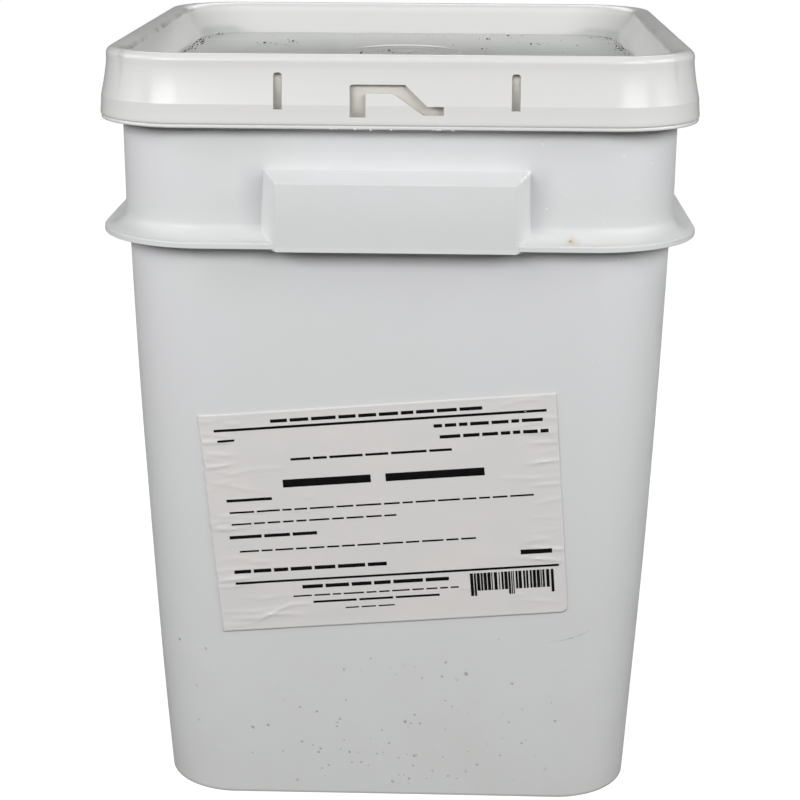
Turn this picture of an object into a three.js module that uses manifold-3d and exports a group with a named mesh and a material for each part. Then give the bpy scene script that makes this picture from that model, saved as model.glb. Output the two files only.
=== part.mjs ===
// A lidded square storage pail with a paper label, in millimetres, +Z up.
// The front face, with the label, looks along -Y, and the origin is on the floor under the centre.
import * as THREE from "three";
import { mergeVertices } from "three/addons/utils/BufferGeometryUtils.js";
import Module from "manifold-3d";

// Pail body: a rounded square that widens upwards and bulges a little under its filling.
// "half" is half the width across the flats, "straight" is half the length of a flat.
const BODY_BOTTOM = { half: 106.1, straight: 69.4 };
const BODY_TOP = { half: 115.5, straight: 79.8 };
const BODY_BULGE = 1.3;
const BODY_EDGE_RADIUS = 3;
const BODY_STEPS = 9;
const EDGE_BREAK = 0.6;

// Collar: a flat flange round the pail, swept up into the neck above it.
const COLLAR = { half: 126, straight: 80 };
const COLLAR_UNDERSIDE = 257.2;
const COLLAR_EDGE = 3.4;
const COLLAR_SWEEP = { out: 8, up: 7 };

// Neck above the collar, and the rim that the lid grips.
const NECK = { half: 116.4, straight: 81.4 };
const RIM = { half: 118.8, straight: 87.5 };
const RIM_FLARE = 3;
const RIM_UNDERSIDE = 312;
const RIM_TOP = 333.4;
const RIM_BREAK = 1.2;

// Hand grips on the front and back: hollow boxes, open underneath.
const GRIP_FRONT_HALF = 48.5;
const GRIP_ROOT_HALF = 54.5;
const GRIP_REACH = 128.4;
const GRIP_TOP_FRONT = 284.8;
const GRIP_TOP_ROOT = 289;
const GRIP_WALL = 2.2;
const GRIP_DROP = 0.2;

// Lid: a skirt, a flat rim over the pail's rim, and a sunk panel that swells a little in the middle.
const LID_STRAIGHT = 87.5;
const LID_BEAD_HALF = 124.7;
const LID_BEAD_RISE = 5.4;
const LID_LIP = { inset: 1, turn: 0.7, roll: 2.6 };
const LID_SHOULDER_HALF = 122.2;
const LID_SHOULDER_DROP = 7;
const LID_BOTTOM = 306.8;
const LID_TOP = 335.9;
const LID_WALL = 1.8;
const LID_STEP_Z = 316.4;
const LID_STEP = 0.5;
const LID_EDGE_RADIUS = 3.4;
const LID_INNER_RADIUS = 1.6;
const RECESS_TOP_HALF = 111.4;
const PANEL_HALF = 107;
const PANEL_EDGE_Z = 321.5;
const PANEL_CROWN = 2.9;
const PANEL_FILLET = 1.2;
const PANEL_PARTS = [0.1, 0.35, 0.6, 0.8, 0.93];
const PANEL_RING_RADIUS = 25;
const PANEL_RING_HEIGHT = 0.7;

// Openings in the skirt: narrow upright slots, and the bent slot of the tear tab at the front.
const SLOT_WIDTH = 3.5;
const SLOT_BOTTOM = 314.5;
const SLOT_TOP = 328.8;
const SLOT_PLACE = 47.4;
const TAB_LEFT = -18.7;
const TAB_RIGHT = 18.8;
const TAB_LEG = 6.4;
const TAB_BOTTOM = 311.6;
const TAB_TOP = 324.4;
const TAB_ARM = 3.5;
const TAB_ARM_END = 3.3;
const TAB_FOOT_START = 10.8;
const TAB_FOOT_BOTTOM = 312.5;
const TAB_FOOT_TOP = 316;
const TAB_SLANT = 1.6;

// Label: an unfolded sheet on the front wall, turned a few degrees.
const LABEL_WIDTH = 152.4;
const LABEL_HEIGHT = 101.6;
const LABEL_CENTRE = { x: -4.5, z: 138.5 };
const LABEL_TURN = THREE.MathUtils.degToRad(4.66);
const LABEL_CORNER = 3;
const LABEL_THICK = 0.4;

// The gap between neighbouring parts, the overshoot of a cutting solid, and the facets of the roundings.
const GAP = 0.35;
const CUT = 5;
const CORNER_STEPS = 10;
const SWEEP_STEPS = 5;
const FOOT_STEPS = 3;
const EDGE_STEPS = 4;
const RING_STEPS = 40;

const wasm = await Module();
wasm.setup();

// One level of a loft: a rounded square at height z.
function level(half, straight, z) {
  return { half, straight, z };
}

// The points of a rounded square, anticlockwise from above.
function roundedSquare({ half, straight, z }) {
  const corner = half - straight;
  const points = [];
  for (let quarter = 0; quarter < 4; quarter++) {
    const middle = Math.PI / 4 + (quarter * Math.PI) / 2;
    const cx = Math.SQRT2 * straight * Math.cos(middle);
    const cy = Math.SQRT2 * straight * Math.sin(middle);
    for (let step = 0; step <= CORNER_STEPS; step++) {
      const angle = middle + (step / CORNER_STEPS - 0.5) * (Math.PI / 2);
      points.push([cx + corner * Math.cos(angle), cy + corner * Math.sin(angle), z]);
    }
  }
  return points;
}

// A closed solid through levels listed from its lower face to its upper one.
function loft(levels) {
  const rings = levels.map(roundedSquare);
  const count = rings[0].length;
  const positions = rings.flat(2);
  const index = [];
  for (let ring = 0; ring + 1 < rings.length; ring++) {
    for (let i = 0; i < count; i++) {
      const a = ring * count + i;
      const b = ring * count + ((i + 1) % count);
      index.push(a, b, b + count, a, b + count, a + count);
    }
  }
  const centres = [positions.length / 3, positions.length / 3 + 1];
  positions.push(0, 0, levels[0].z, 0, 0, levels.at(-1).z);
  const last = (rings.length - 1) * count;
  for (let i = 0; i < count; i++) {
    const next = (i + 1) % count;
    index.push(centres[0], next, i, centres[1], last + i, last + next);
  }
  const geometry = new THREE.BufferGeometry();
  geometry.setAttribute("position", new THREE.Float32BufferAttribute(positions, 3));
  geometry.setIndex(index);
  return toSolid(geometry);
}

// A three.js geometry as a manifold-3d solid.
function toSolid(geometry) {
  const bare = geometry.clone();
  bare.deleteAttribute("normal");
  bare.deleteAttribute("uv");
  const merged = mergeVertices(bare, 1e-4);
  return new wasm.Manifold(
    new wasm.Mesh({
      numProp: 3,
      vertProperties: new Float32Array(merged.attributes.position.array),
      triVerts: new Uint32Array(merged.index.array),
    }),
  );
}

// A flat outline, drawn in X and Z, pushed through from y = near to y = far.
function pushThrough(shape, near, far) {
  const depth = far - near;
  const geometry = new THREE.ExtrudeGeometry(shape, { depth, bevelEnabled: false, curveSegments: 6 });
  geometry.rotateX(Math.PI / 2);
  geometry.translate(0, far, 0);
  return toSolid(geometry);
}

// A manifold-3d solid as a named mesh.
function toMesh(name, solid, material) {
  const data = solid.getMesh();
  const geometry = new THREE.BufferGeometry();
  geometry.setAttribute("position", new THREE.BufferAttribute(new Float32Array(data.vertProperties), 3));
  geometry.setIndex(new THREE.BufferAttribute(new Uint32Array(data.triVerts), 1));
  geometry.computeVertexNormals();
  const mesh = new THREE.Mesh(geometry, material);
  mesh.name = name;
  return mesh;
}

// The body's flats and width at height z, up to the collar, grown outwards by "grow".
function bodyLevel(z, grow = 0) {
  const t = z / COLLAR_UNDERSIDE;
  const half = THREE.MathUtils.lerp(BODY_BOTTOM.half, BODY_TOP.half, t) + BODY_BULGE * 4 * t * (1 - t);
  const straight = THREE.MathUtils.lerp(BODY_BOTTOM.straight, BODY_TOP.straight, t);
  return level(half + grow, straight, z);
}

// The collar: its edge, then a hollow sweep from its top surface up into the neck.
function collarLevels() {
  const foot = COLLAR_UNDERSIDE + COLLAR_EDGE;
  const levels = [
    level(COLLAR.half - EDGE_BREAK, COLLAR.straight, COLLAR_UNDERSIDE),
    level(COLLAR.half, COLLAR.straight, COLLAR_UNDERSIDE + EDGE_BREAK),
    level(COLLAR.half, COLLAR.straight, foot - EDGE_BREAK),
    level(COLLAR.half - EDGE_BREAK, COLLAR.straight, foot),
  ];
  for (let i = 0; i <= SWEEP_STEPS; i++) {
    const angle = (i / SWEEP_STEPS) * (Math.PI / 2);
    const half = NECK.half + COLLAR_SWEEP.out * (1 - Math.sin(angle));
    levels.push(level(half, NECK.straight, foot + COLLAR_SWEEP.up * (1 - Math.cos(angle))));
  }
  return levels;
}

// The height of the panel's surface where its level has the given half width.
function panelHeight(half) {
  return PANEL_EDGE_Z + PANEL_CROWN * (1 - (half / PANEL_HALF) ** 2);
}

// The levels of the lid's recess, widened by "grow" and lowered by "drop".
function recessLevels(grow, drop, top) {
  const levels = [];
  for (const part of PANEL_PARTS) {
    const half = PANEL_HALF * part;
    levels.push(level(half, LID_STRAIGHT * part, panelHeight(half) - drop));
  }
  levels.push(level(PANEL_HALF - PANEL_FILLET + grow, LID_STRAIGHT, PANEL_EDGE_Z - drop));
  levels.push(level(PANEL_HALF + grow, LID_STRAIGHT, PANEL_EDGE_Z + PANEL_FILLET - drop));
  levels.push(level(RECESS_TOP_HALF + grow, LID_STRAIGHT, top));
  return levels;
}

// A block that stands out from the front wall, narrowing from its root to its front face.
function gripBlock(root, front, bottom) {
  const points = [];
  for (const side of [-1, 1]) {
    points.push([side * root.half, -root.y, bottom], [side * root.half, -root.y, root.top]);
    points.push([side * front.half, -front.y, bottom], [side * front.half, -front.y, front.top]);
  }
  return wasm.Manifold.hull(points);
}

// The outside of a hand grip, rooted inside the neck wall.
function gripOutside() {
  const root = { half: GRIP_ROOT_HALF, y: NECK.half - COLLAR_SWEEP.up, top: GRIP_TOP_ROOT };
  const front = { half: GRIP_FRONT_HALF, y: GRIP_REACH, top: GRIP_TOP_FRONT };
  return gripBlock(root, front, COLLAR_UNDERSIDE - GRIP_DROP);
}

// The finger space inside a hand grip, open below the collar.
function gripHollow() {
  const root = { half: GRIP_ROOT_HALF - GRIP_WALL, y: NECK.half, top: GRIP_TOP_ROOT - GRIP_WALL };
  const front = {
    half: GRIP_FRONT_HALF - GRIP_WALL,
    y: GRIP_REACH - GRIP_WALL,
    top: GRIP_TOP_FRONT - GRIP_WALL,
  };
  return gripBlock(root, front, COLLAR_UNDERSIDE - BODY_EDGE_RADIUS);
}

// The body's walls from above its rounded lower edge to the collar, grown outwards by "grow".
function wallLevels(grow) {
  const levels = [];
  for (let i = 0; i <= BODY_STEPS; i++) {
    const z = THREE.MathUtils.lerp(BODY_EDGE_RADIUS, COLLAR_UNDERSIDE + EDGE_BREAK, i / BODY_STEPS);
    levels.push(bodyLevel(z, grow));
  }
  return levels;
}

function makePail() {
  const levels = [];
  for (let i = 0; i < FOOT_STEPS; i++) {
    const angle = (i / FOOT_STEPS) * (Math.PI / 2);
    const up = BODY_EDGE_RADIUS * (1 - Math.cos(angle));
    levels.push(bodyLevel(up, -BODY_EDGE_RADIUS * (1 - Math.sin(angle))));
  }
  levels.push(...wallLevels(0));
  levels.push(level(NECK.half, NECK.straight, COLLAR_UNDERSIDE + COLLAR_EDGE));
  levels.push(level(NECK.half, NECK.straight, RIM_UNDERSIDE - RIM_FLARE));
  levels.push(level(RIM.half, RIM.straight, RIM_UNDERSIDE));
  levels.push(level(RIM.half, RIM.straight, RIM_TOP - RIM_BREAK));
  levels.push(level(RIM.half - RIM_BREAK, RIM.straight, RIM_TOP));
  let pail = loft(levels).add(loft(collarLevels()));
  for (const turn of [0, 180]) {
    pail = pail.add(gripOutside().rotate([0, 0, turn]));
  }
  for (const turn of [0, 180]) {
    pail = pail.subtract(gripHollow().rotate([0, 0, turn]));
  }
  const mouth = loft(recessLevels(LID_WALL + GAP, LID_WALL + GAP, RIM_TOP + CUT));
  return pail.subtract(mouth);
}

// The skirt from its step up to the top edge, which is rounded; "wall" is taken off all of it.
function skirtLevels(wall, edgeRadius) {
  const top = LID_TOP - wall;
  const shoulder = LID_SHOULDER_HALF - wall;
  const levels = [];
  const below = LID_BEAD_HALF - LID_STEP - wall;
  levels.push(level(below, LID_STRAIGHT, LID_STEP_Z));
  levels.push(level(below - LID_STEP, LID_STRAIGHT, LID_STEP_Z + EDGE_BREAK));
  levels.push(level(shoulder, LID_STRAIGHT, LID_TOP - LID_SHOULDER_DROP));
  for (let i = 0; i <= EDGE_STEPS; i++) {
    const angle = (i / EDGE_STEPS) * (Math.PI / 2);
    const half = shoulder - edgeRadius * (1 - Math.cos(angle));
    levels.push(level(half, LID_STRAIGHT, top - edgeRadius * (1 - Math.sin(angle))));
  }
  return levels;
}

// The outside of the lid: a rolled lip and bead under the skirt.
function lidOutside() {
  return loft([
    level(LID_BEAD_HALF - LID_LIP.roll, LID_STRAIGHT, LID_BOTTOM),
    level(LID_BEAD_HALF - LID_LIP.inset, LID_STRAIGHT, LID_BOTTOM + LID_LIP.turn),
    level(LID_BEAD_HALF, LID_STRAIGHT, LID_BOTTOM + LID_BEAD_RISE / 2),
    level(LID_BEAD_HALF, LID_STRAIGHT, LID_BOTTOM + LID_BEAD_RISE),
    ...skirtLevels(0, LID_EDGE_RADIUS),
  ]);
}

// The space under the lid, open at the lip, before the sunk panel's walls are left standing in it.
function lidInside() {
  const inner = LID_BEAD_HALF - LID_WALL;
  return loft([
    level(inner, LID_STRAIGHT, LID_BOTTOM - CUT),
    level(inner, LID_STRAIGHT, LID_BOTTOM + LID_BEAD_RISE),
    ...skirtLevels(LID_WALL, LID_INNER_RADIUS),
  ]);
}

// The outline of an upright slot with rounded upper corners.
function slotShape() {
  const half = SLOT_WIDTH / 2;
  const shape = new THREE.Shape();
  shape.moveTo(-half, SLOT_BOTTOM);
  shape.lineTo(half, SLOT_BOTTOM);
  shape.lineTo(half, SLOT_TOP - half);
  shape.absarc(0, SLOT_TOP - half, half, 0, Math.PI, false);
  shape.closePath();
  return shape;
}

// The outline of the tear tab's bent slot: a leg, an arm, a slanting stretch and a foot.
function tabShape() {
  const shape = new THREE.Shape();
  shape.moveTo(TAB_LEFT, TAB_BOTTOM);
  shape.lineTo(TAB_LEFT + TAB_LEG, TAB_BOTTOM);
  shape.lineTo(TAB_LEFT + TAB_LEG, TAB_TOP - TAB_ARM);
  shape.lineTo(TAB_ARM_END - 3 * TAB_SLANT, TAB_TOP - TAB_ARM);
  shape.lineTo(TAB_FOOT_START, TAB_FOOT_BOTTOM);
  shape.lineTo(TAB_RIGHT, TAB_FOOT_BOTTOM);
  shape.lineTo(TAB_RIGHT, TAB_FOOT_TOP);
  shape.lineTo(TAB_FOOT_START + TAB_SLANT, TAB_FOOT_TOP);
  shape.lineTo(TAB_ARM_END, TAB_TOP);
  shape.lineTo(TAB_LEFT + TAB_SLANT, TAB_TOP);
  shape.quadraticCurveTo(TAB_LEFT, TAB_TOP, TAB_LEFT, TAB_TOP - TAB_SLANT);
  shape.closePath();
  return shape;
}

function makeLid() {
  const drum = loft(recessLevels(LID_WALL, LID_WALL, LID_TOP + CUT));
  const recess = loft(recessLevels(0, 0, LID_TOP));
  let lid = lidOutside().subtract(lidInside().subtract(drum)).subtract(recess);
  const near = -LID_BEAD_HALF - CUT;
  const far = -RIM.half - GAP;
  for (let side = 0; side < 4; side++) {
    for (const place of [-SLOT_PLACE, SLOT_PLACE]) {
      const slot = pushThrough(slotShape(), near, far).translate([place, 0, 0]);
      lid = lid.subtract(slot.rotate([0, 0, side * 90]));
    }
  }
  lid = lid.subtract(pushThrough(tabShape(), near, far));
  const ring = toSolid(new THREE.TorusGeometry(PANEL_RING_RADIUS, PANEL_RING_HEIGHT, CORNER_STEPS, RING_STEPS));
  return lid.add(ring.translate([0, 0, panelHeight(PANEL_RING_RADIUS)]));
}

function makeLabel() {
  const half = { x: LABEL_WIDTH / 2, z: LABEL_HEIGHT / 2 };
  const shape = new THREE.Shape();
  shape.moveTo(-half.x, -half.z);
  shape.lineTo(half.x - LABEL_CORNER, -half.z);
  shape.quadraticCurveTo(half.x, -half.z, half.x, -half.z + LABEL_CORNER);
  shape.lineTo(half.x, half.z);
  shape.lineTo(-half.x, half.z);
  shape.closePath();
  const sheet = pushThrough(shape, -BODY_TOP.half - CUT, -BODY_BOTTOM.half + CUT)
    .rotate([0, -THREE.MathUtils.radToDeg(LABEL_TURN), 0])
    .translate([LABEL_CENTRE.x, 0, LABEL_CENTRE.z]);
  const outside = loft(wallLevels(GAP + LABEL_THICK));
  return sheet.intersect(outside).subtract(loft(wallLevels(GAP)));
}

const pailPlastic = new THREE.MeshStandardMaterial({ color: "#dcdfe0", roughness: 0.45, metalness: 0 });
const lidPlastic = new THREE.MeshStandardMaterial({ color: "#e8e8e4", roughness: 0.3, metalness: 0 });
const paper = new THREE.MeshStandardMaterial({ color: "#e2dedb", roughness: 0.7, metalness: 0 });

const pail = new THREE.Group();
pail.name = "lidded_square_pail";
pail.add(toMesh("pail", makePail(), pailPlastic));
pail.add(toMesh("lid", makeLid(), lidPlastic));
pail.add(toMesh("label", makeLabel(), paper));

export default pail;
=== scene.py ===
# %% [markdown]
# A lidded square pail, dressed in Blender.
# The CAD model gives the shape and the size. This lesson models the pail, the lid and the label again
# with finer curves, gives each one its finish, and sets up the light and the camera. Everything is in the
# frame of the CAD model: +Z up, the label towards -Y, the origin on the floor.

# %% Load the fixed frame
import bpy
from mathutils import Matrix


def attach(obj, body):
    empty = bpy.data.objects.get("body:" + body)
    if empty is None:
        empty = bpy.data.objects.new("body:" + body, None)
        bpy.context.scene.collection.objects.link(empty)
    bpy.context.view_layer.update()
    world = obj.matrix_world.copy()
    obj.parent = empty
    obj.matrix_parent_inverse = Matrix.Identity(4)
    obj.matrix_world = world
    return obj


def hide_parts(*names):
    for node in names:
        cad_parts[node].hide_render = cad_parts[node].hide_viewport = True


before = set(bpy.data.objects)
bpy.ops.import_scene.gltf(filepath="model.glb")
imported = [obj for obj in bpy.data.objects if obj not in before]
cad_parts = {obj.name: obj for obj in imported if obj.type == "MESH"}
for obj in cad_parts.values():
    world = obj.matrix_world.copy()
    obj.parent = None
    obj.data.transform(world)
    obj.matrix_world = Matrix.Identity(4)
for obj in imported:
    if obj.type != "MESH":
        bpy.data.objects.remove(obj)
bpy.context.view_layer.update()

# %% Blender's own modules
import random
from math import copysign, cos, exp, hypot, pi, radians, sin, sqrt, tau

import bmesh
import bpy
from mathutils import Matrix, Vector, noise

scene = bpy.context.scene
scene.view_settings.view_transform = "Standard"

# %% [markdown]
# The camera stands where the photographer stood: almost straight in front, a little above the lid,
# looking 17 degrees down. The lens is set from its length in pixels, because that is what a fit to a
# picture gives. The shift stays at nought, so that other views can use the same camera.

# %% Camera
MM = 0.001
IMAGE_PIXELS = 800
LENS_PIXELS = 1823.31
SENSOR_WIDTH = 36
CAMERA_PLACE = Vector((-1.52, -849.67, 417.93)) * MM
CAMERA_PITCH = radians(17.13)
CAMERA_YAW = radians(1.61)
CAMERA_ROLL = radians(0.29)


def add_object(name, data):
    """A new object with that data, linked to the scene."""
    thing = bpy.data.objects.new(name, data)
    scene.collection.objects.link(thing)
    return thing


camera_data = bpy.data.cameras.new("camera")
camera_data.sensor_width = SENSOR_WIDTH
camera_data.lens = LENS_PIXELS * SENSOR_WIDTH / IMAGE_PIXELS
camera = add_object("camera", camera_data)
around = Matrix.Rotation(CAMERA_YAW, 4, "Z")
camera.matrix_world = (
    Matrix.Translation(around @ CAMERA_PLACE)
    @ around
    @ Matrix.Rotation(pi / 2 - CAMERA_PITCH, 4, "X")
    @ Matrix.Rotation(CAMERA_ROLL, 4, "Z")
)
scene.camera = camera
print("lens in mm:", round(camera_data.lens, 2))

# %% [markdown]
# A material is a small graph of nodes. A few helpers keep the graphs short to write: each takes outputs
# of other nodes, adds its own node to the same graph, and hands back its output. Every pattern here reads
# Object coordinates, so it stays on the plastic whichever way the camera looks.

# %% Node helpers
def feed(node, inputs):
    """Sets inputs of a node, or links the given outputs to them."""
    for name, value in inputs.items():
        if isinstance(value, bpy.types.NodeSocket):
            value.id_data.links.new(value, node.inputs[name])
        else:
            node.inputs[name].default_value = value


def add_node(owner, kind, inputs=(), **settings):
    """Adds a node to a tree, or beside an output. Sets its properties and feeds its inputs."""
    node = owner.id_data.nodes.new("ShaderNode" + kind)
    for name, value in settings.items():
        setattr(node, name, value)
    feed(node, dict(inputs))
    return node


def new_material(name, roughness, ior=1.5):
    """A material with one Principled shader, and the Object coordinates that its patterns read."""
    material = bpy.data.materials.new(name)
    material.use_nodes = True
    shader = material.node_tree.nodes["Principled BSDF"]
    feed(shader, {"Roughness": roughness, "IOR": ior})
    here = add_node(material.node_tree, "TexCoord").outputs["Object"]
    return material, shader, here


# %% Arithmetic helpers
def maths(operation, *values):
    """One arithmetic node. The first value is an output, the others are outputs or numbers."""
    inputs = dict(enumerate(values))
    return add_node(values[0], "Math", inputs, operation=operation).outputs["Value"]


def product(first, *others):
    """The product of several outputs or numbers."""
    for other in others:
        first = maths("MULTIPLY", first, other)
    return first


def axes(here):
    """How far a place lies to the right, how far from the middle across and along, and how high."""
    node = add_node(here, "SeparateXYZ", {"Vector": here})
    right, back, up = node.outputs
    return right, maths("ABSOLUTE", right), maths("ABSOLUTE", back), up


def length(vector):
    """The length of a vector."""
    node = add_node(vector, "VectorMath", {0: vector}, operation="LENGTH")
    return node.outputs["Value"]


# %% Pattern helpers
BLOT_CORE = 0.55


def noise_field(vector, scale, detail=3.0, roughness=0.5):
    """A cloudy field from 0 to 1. The scale is in waves per metre."""
    inputs = {"Vector": vector, "Scale": scale, "Detail": detail, "Roughness": roughness}
    return add_node(vector, "TexNoise", inputs).outputs["Fac"]


def ramp(value, low, high, to_low=0.0, to_high=1.0):
    """Maps a value smoothly from one range to another."""
    inputs = {"Value": value, "From Min": low, "From Max": high, "To Min": to_low, "To Max": to_high}
    node = add_node(value, "MapRange", inputs, interpolation_type="SMOOTHSTEP")
    return node.outputs["Result"]


def fade(value, low, high, most=1.0):
    """The most below the range, and nought above it."""
    return ramp(value, low, high, most, 0)


def blot(here, centre, radii, ragged, scale):
    """1 inside a ragged ellipsoid and 0 outside. The centre and the radii are in mm."""
    stretch = [1 / (r * MM) for r in radii]
    moved = [-c * MM * k for c, k in zip(centre, stretch)]
    inputs = {"Vector": here, "Location": moved, "Scale": stretch}
    reach = length(add_node(here, "Mapping", inputs).outputs["Vector"])
    edge = product(noise_field(here, scale, detail=4), ragged)
    return fade(maths("ADD", reach, edge), BLOT_CORE, 1.0 + ragged / 2)


# %% Colour and bump helpers
MIX_COLOURS_IN = (6, 7)
MIX_COLOUR_OUT = 2


def blend(share, first, second):
    """A colour between two colours, each given as an output or as red, green and blue."""
    inputs = {"Factor": share}
    for place, colour in zip(MIX_COLOURS_IN, (first, second)):
        inputs[place] = (*colour, 1) if isinstance(colour, tuple) else colour
    return add_node(share, "Mix", inputs, data_type="RGBA").outputs[MIX_COLOUR_OUT]


def coat(colour, *layers):
    """Lays colours over a colour, one after the other. A layer is a share and its colour."""
    for share, over in layers:
        colour = blend(share, colour, over)
    return colour


def roughen(shader, height, strength, distance):
    """Bump from a height field."""
    inputs = {"Height": height, "Strength": strength, "Distance": distance}
    feed(shader, {"Normal": add_node(height, "Bump", inputs).outputs["Normal"]})


# %% [markdown]
# The stage is a pale floor and soft lights, as in a small studio. The picture that this follows has a
# pure white ground, but the overhangs of its pail are nearly black underneath, so little light came up
# from below. The floor here is white for the camera, and gives the pail only a weak bounce.

# %% Floor
FLOOR_HALF = 30000
FLOOR_BOUNCE = 0.12
WHITE = (1, 1, 1, 1)


def seen_by_camera(tree):
    """1 for what the camera itself sees, and 0 for all other light."""
    return add_node(tree, "LightPath").outputs["Is Camera Ray"]


def finished_mesh(name, bm):
    """Turns a bmesh into a mesh, and uses it up."""
    mesh = bpy.data.meshes.new(name)
    bm.to_mesh(mesh)
    bm.free()
    return mesh


def grid(bm, columns, rows, size=0.5):
    """A flat grid of cells round the origin. size is half its side. Returns its vertices."""
    return bmesh.ops.create_grid(bm, x_segments=columns, y_segments=rows, size=size)["verts"]


floor_bm = bmesh.new()
grid(floor_bm, 1, 1, FLOOR_HALF * MM)
floor = add_object("floor", finished_mesh("floor", floor_bm))
floor_paint, floor_shader, _ = new_material("floor_paint", 0.9)
feed(floor_shader, {
    "Base Color": (FLOOR_BOUNCE, FLOOR_BOUNCE, FLOOR_BOUNCE, 1),
    "Emission Color": WHITE,
    "Emission Strength": seen_by_camera(floor_paint.node_tree),
})
floor.data.materials.append(floor_paint)
print("floor:", 2 * FLOOR_HALF * MM, "m across")

# %% [markdown]
# Two soft boxes stand in front, about 30 degrees to each side and 25 degrees up. Their place was read
# from the bright patches on the front corners of the lid, and their height from the short, dark shadow
# under the collar. Two larger and fainter boxes at the sides light the flanks of the grip, and one behind
# catches the top of the rim. The room is nearly dark, and white for the camera alone, so that a low view
# has no black horizon.

# %% Lights
AIM = Vector((0, 0, 180)) * MM
ROOM_LIGHT = 0.02
SOFT_BOXES = (
    # name, azimuth (positive to the right), elevation, distance, width, height, power
    ("left_box", -28, 25, 1.7, 0.9, 0.5, 12.0),
    ("right_box", 30, 25, 1.7, 0.9, 0.5, 8.8),
    ("left_side_box", -75, 28, 1.7, 1.0, 0.8, 8.3),
    ("right_side_box", 75, 28, 1.7, 1.0, 0.8, 11.3),
    ("back_box", 180, 40, 1.8, 1.2, 0.8, 8.0),
)


def soft_box(name, azimuth, elevation, distance, width, height, power):
    """A rectangular light that looks at the pail."""
    light = bpy.data.lights.new(name, "AREA")
    light.shape = "RECTANGLE"
    light.size = width
    light.size_y = height
    light.energy = power
    turn, rise = radians(azimuth), radians(elevation)
    towards = Vector((sin(turn) * cos(rise), -cos(turn) * cos(rise), sin(rise)))
    facing = towards.to_track_quat("Z", "Y").to_matrix().to_4x4()
    lamp = add_object(name, light)
    lamp.matrix_world = Matrix.Translation(AIM + towards * distance) @ facing
    print(name, "at", [round(c, 2) for c in lamp.location])


for row in SOFT_BOXES:
    soft_box(*row)

world = bpy.data.worlds.new("room")
world.use_nodes = True
background = world.node_tree.nodes["Background"]
room_light = maths("MAXIMUM", seen_by_camera(world.node_tree), ROOM_LIGHT)
feed(background, {"Color": WHITE, "Strength": room_light})
scene.world = world

# %% [markdown]
# The pail and the lid are both stacks of rounded squares, like the moulds that make them. A rounded
# square starts as one square face. Bevelling its vertices gives true round corners, and cutting it with
# planes adds columns of vertices along the flats. Then the ring of edges is extruded again and again, and
# each new ring gets its own width, corner and height. All rings have the same number of vertices, so the
# walls between them are clean quads.

# %% Rounded squares
CORNER_SEGMENTS = 24
COLUMN_SHARES = (0, 0.16, 0.32, 0.48, 0.64, 0.82)
CUT_TOLERANCE = 1e-4


def clamp(value, limit):
    """The value, kept between minus the limit and the limit."""
    return max(-limit, min(limit, value))


def round_off(bm, parts, offset, segments, affect):
    """Rounds off edges, or the corners of a flat outline."""
    settings = {"profile": 0.5, "clamp_overlap": affect == "EDGES", "material": -1}
    bmesh.ops.bevel(bm, geom=parts, offset=offset, segments=segments, affect=affect, **settings)


def rounded_ring(bm, half, straight, z):
    """A ring of edges. half is half the width, straight is half the length of a flat, in mm."""
    round_off(bm, grid(bm, 1, 1, half), half - straight, CORNER_SEGMENTS, "VERTICES")
    bmesh.ops.delete(bm, geom=bm.faces[:], context="FACES_ONLY")
    for share in COLUMN_SHARES:
        for side in (-1, 1) if share else (1,):
            for axis in (Vector((1, 0, 0)), Vector((0, 1, 0))):
                parts = bm.verts[:] + bm.edges[:]
                place = axis * side * share * straight
                bmesh.ops.bisect_plane(bm, geom=parts, plane_co=place, plane_no=axis, dist=CUT_TOLERANCE)
    bmesh.ops.translate(bm, vec=(0, 0, z), verts=bm.verts)
    return bm.edges[:]


# %% Lifting a ring
def new_parts(made, kind):
    """The edges, vertices or faces among what an operator has made."""
    return [part for part in made["geom"] if isinstance(part, kind)]


def extrude_ring(bm, ring):
    """Extrudes a ring of edges, and returns the new edges and their vertices."""
    made = bmesh.ops.extrude_edge_only(bm, edges=ring)
    return new_parts(made, bmesh.types.BMEdge), new_parts(made, bmesh.types.BMVert)


def lift(bm, ring, levels):
    """Extrudes the ring through levels of (half, straight, z). It lies on the first one already."""
    for (old_half, old_flat, _), (half, flat, z) in zip(levels, levels[1:]):
        ring, verts = extrude_ring(bm, ring)
        stretch = flat / old_flat
        turn = (half - flat) / (old_half - old_flat)
        for vert in verts:
            flat_x = clamp(vert.co.x, old_flat)
            flat_y = clamp(vert.co.y, old_flat)
            vert.co.x = flat_x * stretch + (vert.co.x - flat_x) * turn
            vert.co.y = flat_y * stretch + (vert.co.y - flat_y) * turn
            vert.co.z = z
    return ring


def arc(centre, radii, straight, start, end, steps):
    """Levels along a part of an ellipse in the (half, z) plane, from angle start to angle end."""
    levels = []
    for step in range(steps + 1):
        angle = radians(start + (end - start) * step / steps)
        half = centre[0] + radii[0] * cos(angle)
        levels.append((half, straight, centre[1] + radii[1] * sin(angle)))
    return levels


# %% [markdown]
# A finished bmesh becomes an object here. It is made in millimetres, like the drawing of a moulding, and
# shrunk to metres at the end. Smooth shading with weighted normals keeps the large flats flat, and lets
# only the narrow roundings turn the light.

# %% Objects from meshes
SHARP_ANGLE = radians(38)


def make_piece(name, bm, material, sharp=SHARP_ANGLE, weighted=True):
    """Turns a bmesh in mm into an object that rides on the frame."""
    bmesh.ops.scale(bm, vec=(MM, MM, MM), verts=bm.verts)
    mesh = finished_mesh(name, bm)
    mesh.shade_smooth()
    mesh.set_sharp_from_angle(angle=sharp)
    mesh.materials.append(material)
    piece = add_object(name, mesh)
    if weighted:
        normals = piece.modifiers.new("weighted normals", "WEIGHTED_NORMAL")
        normals.keep_sharp = True
    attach(piece, "root")
    print(name, len(mesh.vertices), "vertices,", len(mesh.polygons), "faces")
    return piece


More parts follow.
